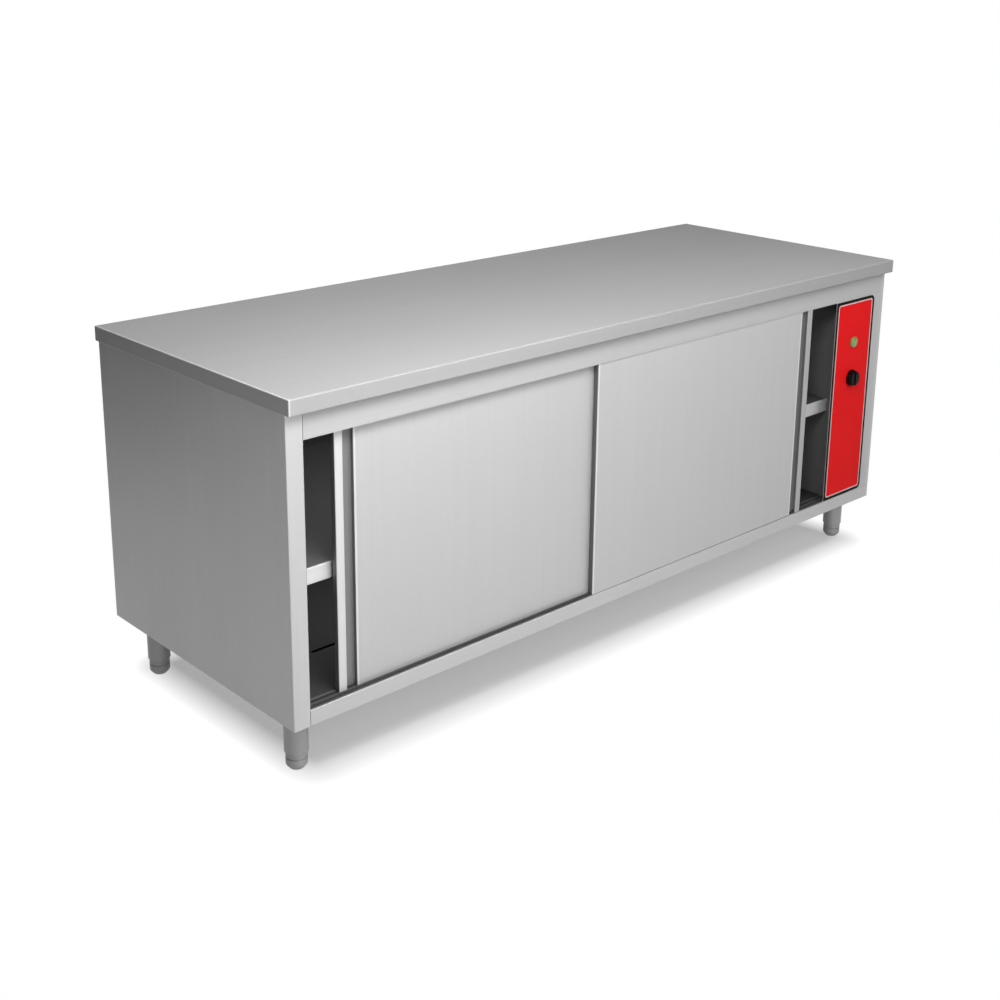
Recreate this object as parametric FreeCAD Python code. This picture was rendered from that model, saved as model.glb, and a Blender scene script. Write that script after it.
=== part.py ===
import FreeCAD
import Part
import math
import os
from FreeCAD import Vector

# Plate warmer cabinet: a long stainless cabinet on four adjustable legs.
# Two hollow doors hang on rollers from a two-lane track behind the top fascia.
# A heated chamber with a middle shelf fills the body, and a narrow compartment
# at the right holds the thermostat and the pilot lamp.
# Millimetres. X runs to the right, Y to the back and Z up.
# The origin lies on the floor under the middle of the countertop.

# Overall size
top_width = 2000.0
top_depth = 740.0
overall_height = 820.0

# Countertop
top_edge_height = 34.0
top_return = 14.0
top_sheet = 1.2
top_corner = 2.4
front_overhang = 21.0
side_overhang = 5.0
back_overhang = 5.0

# Stiffeners under the countertop
stiffener_count = 3
stiffener_width = 96.0
stiffener_crown = 60.0
stiffener_sheet = 1.5
stiffener_end_gap = 4.0
stiffener_side_gap = 90.0

# Body sheets
sheet = 1.2
liner = 1.0
inner_bend = 1.0
body_corner = 2.2
left_wall = 40.0
right_wall = 15.0
back_wall = 20.0
left_lip = 20.0
right_lip = 9.0
back_lip = 22.0

# Front frame
fascia_height = 58.0
fascia_return = 20.0
rail_height = 36.0
rail_hem = 13.0
rail_foot = 30.0
sill_depth = 40.0
pan_flange = 20.0
ceiling_depth = 22.0
ceiling_lip = 16.0

# Control compartment
control_bay = 160.0
control_overhang = 45.0
wall_flange = 16.0
label_width = 175.0
label_margin = 1.0
label_sheet = 0.6
label_inner_corner = 2.0
label_outer_corner = 15.0

# Doors
front_door_share = 0.4625
right_gap = 106.0
left_gap = 83.5
door_overlap = 20.0
door_thickness = 14.0
door_skin = 1.0
door_bend = 1.0
door_running_gap = 2.0
fascia_door_gap = 1.0
door_sill_gap = 1.0
door_cover = 10.0
handle_flange = 20.0
handle_width = 26.0
handle_depth = 10.0
left_buffer = 4.0
buffer_radius = 4.5
buffer_drop = 5.0
right_buffer = 30.0

# Lower guide fins and the groove that runs over them
fin_width = 2.0
fin_height = 4.0
groove_width = 4.0
groove_depth = 7.0
shoe_height = 12.0

# Carrier in the top of each door
carrier_height = 24.0
carrier_sheet = 1.2

# Door track
track_wall = 1.5
track_ledge_gap = 3.0
track_lip_height = 2.5
roller_radius = 10.0
roller_width = 5.5
roller_hub_radius = 5.5
roller_rim = 2.4
roller_dish = 0.8
roller_gap = 0.3
roller_web_gap = 1.2
roller_lip_gap = 0.4
hanger_sheet = 2.0
hanger_width = 60.0
hanger_neck = 22.0
hanger_inset = 100.0
hanger_top = 8.0
hanger_root = 6.0
axle_radius = 2.5
axle_clearance = 0.05
axle_head_radius = 4.0
axle_head = 0.7
axle_rivet = 0.8

# Heated chamber
shelf_level_share = 0.5
shelf_height = 36.0
shelf_setback = 40.0
shelf_end_gap = 1.0
shelf_back_gap = 44.0
shelf_lip = 12.0
support_leg = 20.0
support_sheet = 1.5
support_end_gap = 14.0
shelf_rib_width = 80.0
shelf_rib_crown = 44.0
shelf_rib_height = 24.0
shelf_rib_end_gap = 16.0
slot_length = 80.0
slot_width = 9.0
slot_pitch = 200.0
slot_row_share = 0.5
slot_margin = 90.0

# Heating elements under the floor tray
element_radius = 4.25
element_turn = 55.0
element_row_share = 0.5
element_height = 17.0
element_far_gap = 110.0
element_tail = 34.0
element_hole_gap = 0.6
terminal_radius = 2.2
terminal_length = 16.0
clip_thickness = 2.0
clip_width = 150.0
clip_wall = 5.0
clip_foot = 14.0
clip_places_share = (0.14, 0.5, 0.86)

# Legs and feet
leg_height = 127.0
leg_radius = 25.5
leg_tube_wall = 1.5
leg_side_inset = 59.0
leg_front_inset = 96.0
leg_tube_bottom = 39.0
leg_plate = 90.0
leg_plate_sheet = 3.0
leg_plate_corner = 8.0
insert_height = 15.0
insert_bottom = 79.0
insert_gap = 0.1
foot_radius = 23.0
foot_sole = 15.0
foot_rounding = 9.0
foot_groove_height = 24.0
foot_groove_width = 2.4
foot_groove_depth = 1.2
foot_cup_top = 76.0
foot_cup_chamfer = 2.0
stem_radius = 6.0
stem_top = 121.0
stem_clearance = 0.08

# Screws
screw_radius = 2.5
screw_head_radius = 4.6
screw_head = 2.6
screw_length = 8.0
screw_clearance = 0.3
track_screw_count = 6
track_screw_inset = 60.0

# Knob and thermostat
knob_drop = 222.0
knob_radius = 22.5
knob_front_radius = 19.5
knob_length = 16.5
knob_gap = 0.6
knob_edge = 1.6
knob_bar_width = 6.0
knob_bar_height = 2.8
knob_flutes = 12
knob_flute_radius = 3.0
knob_flute_reach = 2.0
knob_bore_depth = 11.0
shaft_radius = 3.0
shaft_clearance = 0.05
shaft_tail = 12.0
bush_radius = 5.0
bush_front = 0.4
bush_hole_gap = 0.4
thermostat_width = 46.0
thermostat_height = 40.0
thermostat_depth = 30.0
thermostat_corner = 3.0
blade_width = 6.3
blade_sheet = 0.8
blade_length = 9.0
blade_pitch = 16.0

# Sensor bulb and its capillary
capillary_radius = 1.2
capillary_arc = 18.0
capillary_back = 120.0
capillary_rise = 70.0
bulb_radius = 3.2
bulb_length = 90.0
bulb_wall_gap = 12.0
capillary_hole_gap = 0.8
bulb_clip_width = 10.0
bulb_clip_sheet = 1.2
bulb_clip_places_share = (0.25, 0.75)

# Pilot lamp
lamp_drop = 121.0
lamp_bezel_radius = 15.0
lamp_bezel_height = 5.0
lamp_bezel_edge = 1.2
lamp_barrel_radius = 11.0
lamp_barrel_wall = 1.8
lamp_barrel_length = 24.0
lamp_hole_gap = 0.3
lamp_lens_radius = 12.2
lamp_lens_flat_radius = 6.0
lamp_lens_rise = 3.2
lamp_seat = 2.0
lamp_nut_size = 27.0
lamp_nut_height = 5.0

# Terminal block and cable gland
block_ways = 5
block_way_pitch = 12.0
block_depth = 24.0
block_height = 22.0
block_rail = 7.0
block_notch = 5.0
block_back_share = 0.55
block_level_share = 0.3
gland_radius = 12.0
gland_thread_radius = 9.5
gland_bore = 5.5
gland_hex_height = 7.0
gland_cap_height = 13.0
gland_cap_radius = 10.5
gland_thread_length = 9.0
gland_back_inset = 90.0

# Shared allowances
overrun = 6.0
touch = 0.001

# Body planes that the sizes give
half_width = top_width / 2
top_front = -top_depth / 2
top_back = top_depth / 2
body_left = side_overhang - half_width
body_right = half_width - side_overhang
body_front = top_front + front_overhang
body_back = top_back - back_overhang
body_top = overall_height - top_edge_height
body_bottom = leg_height
bay_left = body_left + left_wall
bay_right = body_right - right_wall
bay_back = body_back - back_wall
front_back_face = body_front + sheet
sill_top = body_bottom + rail_height
sill_back = body_front + sill_depth
opening_top = body_top - fascia_height
floor_inside = body_bottom + sheet
wall_x = bay_right - control_bay
plate_left = wall_x - control_overhang
control_x = plate_left + label_margin + label_width / 2
knob_level = opening_top - knob_drop
lamp_level = opening_top - lamp_drop
chamber_left = bay_left + liner
chamber_back = bay_back - liner
shelf_top = sill_top + shelf_level_share * (opening_top - sill_top)
frame_top = body_top - sheet

# Door planes and lanes
door_bottom = sill_top + door_sill_gap
door_top = opening_top + door_cover
front_door_face = front_back_face + fascia_door_gap
lane_pitch = door_thickness + door_running_gap
rear_door_face = front_door_face + lane_pitch
front_door_closed_right = wall_x - right_buffer
rear_door_closed_left = chamber_left + left_buffer
door_widths = front_door_closed_right - rear_door_closed_left + door_overlap
front_door_width = door_widths * front_door_share
rear_door_width = door_widths - front_door_width
front_door_left = plate_left - right_gap - front_door_width
rear_door_left = chamber_left + left_gap
ledge_bottom = door_top + track_ledge_gap
ledge_top = ledge_bottom + track_wall
axle_level = ledge_top + roller_gap + roller_radius

# Leg places as named corners
leg_places = {
    "front_left": (leg_side_inset - half_width, top_front + leg_front_inset),
    "front_right": (half_width - leg_side_inset, top_front + leg_front_inset),
    "back_left": (leg_side_inset - half_width, top_back - leg_front_inset),
    "back_right": (half_width - leg_side_inset, top_back - leg_front_inset),
}

nodes = {}


# Shape helpers


def block(x, y, z):
    """A box from three (low, high) spans."""
    return Part.makeBox(x[1] - x[0], y[1] - y[0], z[1] - z[0], Vector(x[0], y[0], z[0]))


def grown(span, amount):
    """A (low, high) span moved outwards by amount at both ends."""
    return (span[0] - amount, span[1] + amount)


def about(middle, length):
    """A (low, high) span of the given length about its middle."""
    return (middle - length / 2, middle + length / 2)


def rod(radius, length, base, direction):
    """A round bar from base along direction."""
    return Part.makeCylinder(radius, length, base, direction)


def line(start, end):
    return Part.LineSegment(start, end).toShape()


def rounded_edges(points, radii, closed):
    """Edges of a path through points, with each corner rounded by its radius."""
    count = len(points)
    corners = range(count) if closed else range(1, count - 1)
    starts = {i: points[i] for i in range(count)}
    ends = dict(starts)
    arcs = {}
    for i in corners:
        radius = radii[i % len(radii)]
        if radius <= touch:
            continue
        into = (points[i] - points[i - 1]).normalize()
        out = (points[(i + 1) % count] - points[i]).normalize()
        half_turn = into.getAngle(out) / 2
        if half_turn <= touch:
            continue
        inwards = (out - into).normalize()
        reach = radius * math.tan(half_turn)
        centre = points[i] + inwards * (radius / math.cos(half_turn))
        ends[i] = points[i] - into * reach
        starts[i] = points[i] + out * reach
        arcs[i] = Part.Arc(ends[i], centre - inwards * radius, starts[i]).toShape()
    edges = []
    last = count if closed else count - 1
    for i in range(last):
        if i in arcs:
            edges.append(arcs[i])
        following = (i + 1) % count
        if (ends[following] - starts[i]).Length > touch:
            edges.append(line(starts[i], ends[following]))
    return edges


def loop_face(points, radii):
    """A flat face inside a closed path with rounded corners."""
    return Part.Face(Part.Wire(Part.__sortEdges__(rounded_edges(points, radii, True))))


def placed(plane, level, u, v):
    """A point of a sketch plane: YZ at an X level, XZ at a Y level or XY at a Z level."""
    if plane == "YZ":
        return Vector(level, u, v)
    if plane == "XZ":
        return Vector(u, level, v)
    return Vector(u, v, level)


def sweep_of(plane, length):
    """The vector that extrudes a sketch plane's face by length."""
    return placed(plane, length, 0, 0)


def prism(outline, radii, plane, span):
    """A solid from a closed outline on a sketch plane, extruded over span."""
    points = [placed(plane, span[0], u, v) for u, v in outline]
    return loop_face(points, radii).extrude(sweep_of(plane, span[1] - span[0]))


def offset_path(path, distance):
    """The path moved to its left by distance, with mitred corners."""
    moved = []
    flat = [Vector(u, v, 0) for u, v in path]
    for i, point in enumerate(flat):
        normals = []
        for low, high in ((i - 1, i), (i, i + 1)):
            if low >= 0 and high < len(flat):
                along = (flat[high] - flat[low]).normalize()
                normals.append(Vector(-along.y, along.x, 0))
        shift = normals[0]
        if len(normals) == 2:
            shift = (normals[0] + normals[1]) / (1 + normals[0].dot(normals[1]))
        place = point + shift * distance
        moved.append((place.x, place.y))
    return moved


def corner_turns(path):
    """The sign of each inner corner's turn: above zero turns left."""
    turns = []
    for before, here, after in zip(path, path[1:], path[2:]):
        into = (here[0] - before[0], here[1] - before[1])
        out = (after[0] - here[0], after[1] - here[1])
        turns.append(into[0] * out[1] - into[1] * out[0])
    return turns


def bent_sheet(path, thickness, plane, span, bend=inner_bend):
    """A folded sheet whose outer face follows path, with its metal on the left of it."""
    back = offset_path(path, thickness)
    turns = corner_turns(path)
    skin_radii = [bend + thickness if turn > 0 else bend for turn in turns]
    back_radii = [bend if turn > 0 else bend + thickness for turn in turns]
    outline = list(path) + back[::-1]
    radii = [0] + skin_radii + [0, 0] + back_radii[::-1] + [0]
    return prism(outline, radii, plane, span)


def off_plane(edges, axis, level):
    """The edges that don't lie in the plane where the axis has this level."""
    return [e for e in edges if any(abs(v.Point[axis] - level) > touch for v in e.Vertexes)]


def tray(spans, thickness, corner, axis, end, lip=0):
    """A folded tray, open at one end of one axis, with a lip of this width round its mouth."""
    mouth_level = spans[axis][end]
    outwards = 1 if end else -1
    outer = block(*spans)
    inside = [grown(span, -thickness) for span in spans]
    if lip:
        outer = outer.makeFillet(corner, outer.Edges)
        mouth = [grown(span, -lip) for span in spans]
        mouth[axis] = about(mouth_level, 2 * overrun)
        return outer.cut(block(*inside)).cut(block(*mouth))
    outer = outer.makeFillet(corner, off_plane(outer.Edges, axis, mouth_level))
    past = mouth_level + outwards * overrun
    inside[axis] = (inside[axis][0], past) if end else (past, inside[axis][1])
    return outer.cut(block(*inside))


def turned(profile, radii, base, direction):
    """A turned solid from a closed (radius, height) profile about an axis at base."""
    points = [Vector(radius, 0, height) for radius, height in profile]
    solid = loop_face(points, radii).revolve(Vector(0, 0, 0), Vector(0, 0, 1), 360)
    turn = FreeCAD.Rotation(Vector(0, 0, 1), direction)
    solid.Placement = FreeCAD.Placement(base, turn)
    return solid


def bent_rod(points, radius, bends):
    """A round rod along straight runs and tangent turns, one bend radius to each corner."""
    pieces = []
    for edge in rounded_edges(points, [0] + list(bends), False):
        start = edge.firstVertex().Point
        along = edge.tangentAt(edge.FirstParameter)
        if isinstance(edge.Curve, Part.Circle):
            ring = Part.Face(Part.Wire(Part.Circle(start, along, radius).toShape()))
            turn = math.degrees(edge.LastParameter - edge.FirstParameter)
            pieces.append(ring.revolve(edge.Curve.Center, edge.Curve.Axis, turn))
        else:
            pieces.append(rod(radius, edge.Length, start, along))
    return pieces[0].fuse(pieces[1:])


def slot(middle_x, middle_y, length, width, z):
    """A round-ended slot cutter along X."""
    x = about(middle_x, length)
    y = about(middle_y, width)
    outline = [(x[0], y[0]), (x[1], y[0]), (x[1], y[1]), (x[0], y[1])]
    return prism(outline, [width / 2], "XY", z)


def hat(crown, width, height, thickness, middle, foot_level, span, upwards):
    """A hat-section stiffener along X, crown up or down, with its feet at foot_level."""
    rise = height if upwards else -height
    path = [
        (middle + width / 2, foot_level),
        (middle + crown / 2, foot_level),
        (middle + crown / 2, foot_level + rise),
        (middle - crown / 2, foot_level + rise),
        (middle - crown / 2, foot_level),
        (middle - width / 2, foot_level),
    ]
    if not upwards:
        path = path[::-1]
    return bent_sheet(path, thickness, "YZ", span)


def screw(place, direction, length):
    """A flat-headed screw whose head sits on place and whose shank runs back from it."""
    profile = [
        (0, -length),
        (screw_radius, -length),
        (screw_radius, 0),
        (screw_head_radius, 0),
        (screw_head_radius, screw_head),
        (0, screw_head),
    ]
    return turned(profile, [0], place, direction)


def hexagon(size, height, base, direction):
    """A hexagonal prism of this width across its flats."""
    radius = size / math.sqrt(3)
    angles = [math.radians(60 * i) for i in range(6)]
    points = [Vector(radius * math.cos(a), radius * math.sin(a), 0) for a in angles]
    solid = loop_face(points, [0]).extrude(Vector(0, 0, height))
    solid.Placement = FreeCAD.Placement(base, FreeCAD.Rotation(Vector(0, 0, 1), direction))
    return solid


def cut_all(solid, cutters):
    for cutter in cutters:
        solid = solid.cut(cutter)
    return solid


# Countertop and its stiffeners


def make_countertop():
    spans = [(-half_width, half_width), (top_front, top_back), (body_top, overall_height)]
    nodes["countertop"] = tray(spans, top_sheet, top_corner, 2, 0, top_return)


def make_stiffeners():
    reach = top_depth / 2 - stiffener_side_gap - stiffener_width / 2
    step = 2 * reach / (stiffener_count - 1)
    end = half_width - top_return - stiffener_end_gap
    span = (-end, end)
    height = top_edge_height - top_sheet
    hats = []
    for i in range(stiffener_count):
        middle = step * i - reach
        hats.append(
            hat(stiffener_crown, stiffener_width, height - stiffener_sheet, stiffener_sheet,
                middle, body_top + stiffener_sheet, span, True)
        )
    nodes["top_stiffeners"] = Part.makeCompound(hats)


# Outer casing


def make_side_panels():
    y = (body_front, body_back)
    z = (body_bottom, body_top)
    left_spans = [(body_left, bay_left), y, z]
    right_spans = [(bay_right, body_right), y, z]
    nodes["left_side_panel"] = tray(left_spans, sheet, body_corner, 0, 1, left_lip)
    nodes["right_side_panel"] = tray(right_spans, sheet, body_corner, 0, 0, right_lip)


def make_back_panel():
    spans = [(bay_left, bay_right), (bay_back, body_back), (body_bottom, body_top)]
    nodes["back_panel"] = tray(spans, sheet, body_corner, 1, 0, back_lip)


def make_bottom_pan():
    front = body_front + rail_foot
    path = [
        (front, body_bottom + pan_flange),
        (front, body_bottom),
        (bay_back, body_bottom),
        (bay_back, body_bottom + pan_flange),
    ]
    pan = bent_sheet(path, sheet, "YZ", (bay_left, bay_right))
    gland_hole = rod(gland_thread_radius + screw_clearance, 2 * overrun,
                     Vector(control_x, bay_back - gland_back_inset, body_bottom - overrun),
                     Vector(0, 0, 1))
    nodes["bottom_pan"] = pan.cut(gland_hole)


def make_front_frame():
    fascia_path = [
        (body_front + fascia_return, body_top),
        (body_front, body_top),
        (body_front, opening_top),
    ]
    rail_path = [
        (sill_back, sill_top - rail_hem),
        (sill_back, sill_top),
        (body_front, sill_top),
        (body_front, body_bottom),
        (body_front + rail_foot, body_bottom),
    ]
    span = (bay_left, bay_right)
    fascia = bent_sheet(fascia_path, sheet, "YZ", span)
    nodes["front_fascia"] = cut_all(fascia, track_screw_holes())
    nodes["bottom_rail"] = bent_sheet(rail_path, sheet, "YZ", span)


# Heated chamber


def make_chamber_walls():
    z = (sill_top, frame_top)
    wall_front = front_back_face + fascia_door_gap
    nodes["left_inner_wall"] = block((bay_left, chamber_left), (wall_front, chamber_back), z)
    nodes["back_inner_wall"] = block((bay_left, wall_x), (chamber_back, bay_back), z)
    spans = [(chamber_left, wall_x), (sill_back, chamber_back), (body_top - ceiling_depth, body_top)]
    nodes["ceiling_panel"] = tray(spans, liner, body_corner, 2, 1, ceiling_lip)


def element_rows():
    """The Y pairs of the two heating elements' straight runs."""
    depth = chamber_back - sill_back
    middle = (chamber_back + sill_back) / 2
    rows = []
    for side in (-1, 1):
        centre = middle + side * depth * element_row_share / 2
        rows.append((centre - element_turn, centre + element_turn))
    return rows


def make_floor_tray():
    back = bay_back - sheet - inner_bend
    spans = [(bay_left, wall_x + sheet), (sill_back, back), (floor_inside, sill_top)]
    floor = tray(spans, sheet, body_corner, 2, 0)
    length = wall_x - bay_left - 2 * slot_margin
    count = int(length / slot_pitch) + 1
    first = (bay_left + wall_x) / 2 - slot_pitch * (count - 1) / 2
    middle = (chamber_back + sill_back) / 2
    row_reach = (chamber_back - sill_back) / 2 * slot_row_share
    z = (sill_top - overrun, sill_top + overrun)
    cutters = []
    for i in range(count):
        for row in (-1, 1):
            place = middle + row * row_reach
            cutters.append(slot(first + slot_pitch * i, place, slot_length, slot_width, z))
    hole = element_radius + element_hole_gap
    for pair in element_rows():
        for y in pair:
            base = Vector(wall_x - overrun, y, floor_inside + element_height)
            cutters.append(rod(hole, 2 * overrun + sheet, base, Vector(1, 0, 0)))
    nodes["floor_tray"] = floor.cut(Part.makeCompound(cutters))


def make_heating_elements():
    """Each element is a hairpin tube, with its two cold ends in the control compartment."""
    level = floor_inside + element_height
    far = chamber_left + element_far_gap
    near = wall_x + element_tail
    elements = []
    for low, high in element_rows():
        corners = [Vector(near, low, level), Vector(far, low, level),
                   Vector(far, high, level), Vector(near, high, level)]
        element = bent_rod(corners, element_radius, [element_turn, element_turn])
        for y in (low, high):
            pin = rod(terminal_radius, terminal_length, Vector(near, y, level), Vector(1, 0, 0))
            element = element.fuse(pin)
        elements.append(element)
    nodes["heating_elements"] = Part.makeCompound(elements)


def make_element_clips():
    """Upright combs on the bottom pan, whose notches carry the elements clear of the sheet."""
    level = floor_inside + element_height
    top = level + element_radius + clip_wall
    clips = []
    for low, high in element_rows():
        for share in clip_places_share:
            x = chamber_left + element_far_gap + share * (wall_x - chamber_left - element_far_gap)
            y = about((low + high) / 2, clip_width)
            upright = block((x, x + clip_thickness), y, (floor_inside, top))
            foot = block((x, x + clip_foot), y, (floor_inside, floor_inside + clip_thickness))
            clip = upright.fuse(foot).removeSplitter()
            for run in (low, high):
                notch_y = about(run, 2 * (element_radius + element_hole_gap))
                notch_z = (level - element_radius, top + overrun)
                clip = clip.cut(block(grown((x, x + clip_thickness), overrun), notch_y, notch_z))
            clips.append(clip)
    nodes["element_clips"] = Part.makeCompound(clips)


def make_shelf():
    z = (shelf_top - shelf_height, shelf_top)
    front = body_front + shelf_setback
    back = chamber_back - shelf_back_gap
    x = (chamber_left + shelf_end_gap, wall_x - shelf_end_gap)
    nodes["middle_shelf"] = tray([x, (front, back), z], sheet, body_corner, 2, 0, shelf_lip)
    rib_span = (x[0] + shelf_rib_end_gap, x[1] - shelf_rib_end_gap)
    rib_foot = shelf_top - sheet - support_sheet
    nodes["shelf_rib"] = hat(shelf_rib_crown, shelf_rib_width, shelf_rib_height, support_sheet,
                             (front + back) / 2, rib_foot, rib_span, False)
    supports = []
    y = (front + support_end_gap, back - support_end_gap)
    for face, outwards in ((chamber_left, 1), (wall_x, -1)):
        path = [(face + outwards * support_leg, z[0]), (face, z[0]), (face, z[0] - support_leg)]
        if outwards < 0:
            path = path[::-1]
        supports.append(bent_sheet(path, support_sheet, "XZ", y))
    nodes["shelf_supports"] = Part.makeCompound(supports)


# Door track, guides and buffers


def track_screw_places():
    length = wall_x - chamber_left - 2 * track_screw_inset
    step = length / (track_screw_count - 1)
    y = body_front + fascia_return / 2 + sheet
    return [(chamber_left + track_screw_inset + step * i, y) for i in range(track_screw_count)]


def track_screw_holes():
    """Cutters for the screws that hold the track under the fascia's return."""
    hole = screw_radius + screw_clearance
    base_level = frame_top - track_wall - overrun
    return [
        rod(hole, 2 * overrun + track_wall + sheet, Vector(x, y, base_level), Vector(0, 0, 1))
        for x, y in track_screw_places()
    ]


def make_track():
    """One extrusion with two hanging lanes. Each lane has a web, a ledge and a low lip."""
    roof_top = frame_top
    roof_bottom = frame_top - track_wall
    ledge_reach = track_wall + roller_web_gap + roller_width + roller_lip_gap
    lanes = []
    for face in (front_door_face, rear_door_face):
        web = face - fascia_door_gap
        lip = web + ledge_reach
        lanes.append([
            (web, ledge_bottom),
            (lip + track_wall, ledge_bottom),
            (lip + track_wall, ledge_top + track_lip_height),
            (lip, ledge_top + track_lip_height),
            (lip, ledge_top),
            (web + track_wall, ledge_top),
            (web + track_wall, roof_bottom),
        ])
    front_web, rear_web = lanes[0][0][0], lanes[1][0][0]
    outline = [(front_web + inner_bend, roof_top), (front_web, roof_top - inner_bend)]
    outline += lanes[0]
    outline += [(rear_web, roof_bottom)] + lanes[1]
    outline += [(sill_back, roof_bottom), (sill_back, roof_top)]
    track = prism(outline, [0], "YZ", (chamber_left, wall_x))
    nodes["door_track"] = cut_all(track, track_screw_holes())
    screws = [
        screw(Vector(x, y, body_top), Vector(0, 0, 1), screw_length)
        for x, y in track_screw_places()
    ]
    nodes["track_screws"] = Part.makeCompound(screws)


def lane_middles():
    return [face + door_thickness / 2 for face in (front_door_face, rear_door_face)]


def make_guide_fins():
    fins = [
        block((chamber_left, wall_x), about(y, fin_width), (sill_top, sill_top + fin_height))
        for y in lane_middles()
    ]
    nodes["lower_guide_fins"] = Part.makeCompound(fins)


def make_buffers():
    """Rubber buffers at both ends of each lane, hidden behind the fascia."""
    level = door_top - buffer_drop
    buffers = []
    for y in lane_middles():
        left = Vector(chamber_left, y, level)
        right = Vector(wall_x, y, level)
        buffers.append(rod(buffer_radius, left_buffer, left, Vector(1, 0, 0)))
        buffers.append(rod(buffer_radius, right_buffer, right, Vector(-1, 0, 0)))
    nodes["door_buffers"] = Part.makeCompound(buffers)


# Doors


def make_door(name, left, width, face, outer_is_left):
    """Front skin, handle profile, rear skin, guide shoe, carrier, hangers and rollers.
    A guide fin runs in the groove along the bottom. Each hanger has its axle riveted in.
    The door is drawn with its handle at the high end of X and mirrored where needed."""
    z = (door_bottom, door_top)
    recess = width - handle_flange - handle_width
    back = door_thickness - door_skin
    skin_path = [(0, back), (0, 0), (recess - door_skin, 0)]
    handle_path = [
        (recess, 0),
        (recess, handle_depth),
        (recess + handle_width, handle_depth),
        (recess + handle_width, 0),
        (width, 0),
        (width, back),
    ]
    inner = (door_skin, back)
    core = (door_skin + door_bend, recess - door_skin)
    shoe = block(core, inner, (door_bottom, door_bottom + shoe_height))
    groove = block((-overrun, width + overrun), about(door_thickness / 2, groove_width),
                   (door_bottom - overrun, door_bottom + groove_depth))
    carrier_path = [
        (inner[0], door_top),
        (inner[0], door_top - carrier_height),
        (inner[1], door_top - carrier_height),
        (inner[1], door_top),
    ]
    skin = bent_sheet(skin_path, door_skin, "XY", z, door_bend)
    handle = bent_sheet(handle_path, door_skin, "XY", z, door_bend)
    pieces = {
        "skin": skin.cut(groove),
        "handle": handle.cut(groove),
        "back": block((0, width), (back, door_thickness), z),
        "guide_shoe": shoe.cut(groove),
        "carrier": bent_sheet(carrier_path, carrier_sheet, "YZ", core),
    }
    plate_back = inner[1] - carrier_sheet
    plate_front = plate_back - hanger_sheet
    plate_bottom = door_top - carrier_height + carrier_sheet + hanger_root
    tread = track_wall - fascia_door_gap + roller_web_gap
    hangers = []
    for end, middle in (("inner", hanger_inset), ("outer", width - hanger_inset)):
        outline = [
            (middle - hanger_width / 2, plate_bottom),
            (middle + hanger_width / 2, plate_bottom),
            (middle + hanger_width / 2, door_top),
            (middle + hanger_neck / 2, axle_level + hanger_top),
            (middle - hanger_neck / 2, axle_level + hanger_top),
            (middle - hanger_width / 2, door_top),
        ]
        plate = prism(outline, [hanger_root / 2], "XZ", (plate_front, plate_back))
        head = tread - axle_clearance
        axle_profile = [
            (0, head - axle_head),
            (axle_head_radius, head - axle_head),
            (axle_head_radius, head),
            (axle_radius, head),
            (axle_radius, plate_back),
            (axle_head_radius, plate_back),
            (axle_head_radius, plate_back + axle_rivet),
            (0, plate_back + axle_rivet),
        ]
        axle = turned(axle_profile, [0], Vector(middle, 0, axle_level), Vector(0, 1, 0))
        hangers.append(plate.fuse(axle).removeSplitter())
        pieces[end + "_roller"] = make_roller(middle, tread)
    pieces["hangers"] = Part.makeCompound(hangers)
    for part, shape in pieces.items():
        if outer_is_left:
            shape = shape.mirror(Vector(width / 2, 0, 0), Vector(1, 0, 0))
        moved = shape.copy()
        moved.translate(Vector(left, face, 0))
        nodes[name + "_" + part] = moved


def make_roller(middle, tread):
    """A dished nylon roller that turns on the hanger's axle."""
    bore = axle_radius + axle_clearance
    rim = roller_radius - roller_rim
    profile = [
        (bore, tread),
        (roller_hub_radius, tread),
        (roller_hub_radius, tread + roller_dish),
        (rim, tread + roller_dish),
        (rim, tread),
        (roller_radius, tread),
        (roller_radius, tread + roller_width),
        (rim, tread + roller_width),
        (rim, tread + roller_width - roller_dish),
        (roller_hub_radius, tread + roller_width - roller_dish),
        (roller_hub_radius, tread + roller_width),
        (bore, tread + roller_width),
    ]
    return turned(profile, [0], Vector(middle, 0, axle_level), Vector(0, 1, 0))


# Control compartment


def make_control_wall():
    path = [
        (wall_x + wall_flange, bay_back),
        (wall_x, bay_back),
        (wall_x, front_back_face),
        (wall_x + wall_flange, front_back_face),
    ]
    wall = bent_sheet(path, sheet, "XY", (sill_top, frame_top - inner_bend))
    hole_radius = capillary_radius + capillary_hole_gap
    hole = rod(hole_radius, 2 * overrun, bulb_hole_place(-overrun), Vector(1, 0, 0))
    nodes["control_wall"] = wall.cut(hole)


def make_control_plate():
    z = (sill_top, opening_top)
    plate = block((plate_left, bay_right), (body_front, front_back_face), z)
    label_x = (plate_left + label_margin, plate_left + label_margin + label_width)
    label_z = grown(z, -label_margin)
    outline = [(label_x[0], label_z[0]), (label_x[1], label_z[0]),
               (label_x[1], label_z[1]), (label_x[0], label_z[1])]
    corners = [label_inner_corner, label_outer_corner, label_outer_corner, label_inner_corner]
    label = prism(outline, corners, "XZ", (body_front - label_sheet, body_front))
    behind = body_front - overrun
    holes = [
        rod(lamp_barrel_radius + lamp_hole_gap, 2 * overrun,
            Vector(control_x, behind, lamp_level), Vector(0, 1, 0)),
        rod(bush_radius + bush_hole_gap, 2 * overrun,
            Vector(control_x, behind, knob_level), Vector(0, 1, 0)),
    ]
    nodes["control_plate"] = cut_all(plate, holes)
    nodes["control_label"] = cut_all(label, holes)


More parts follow.
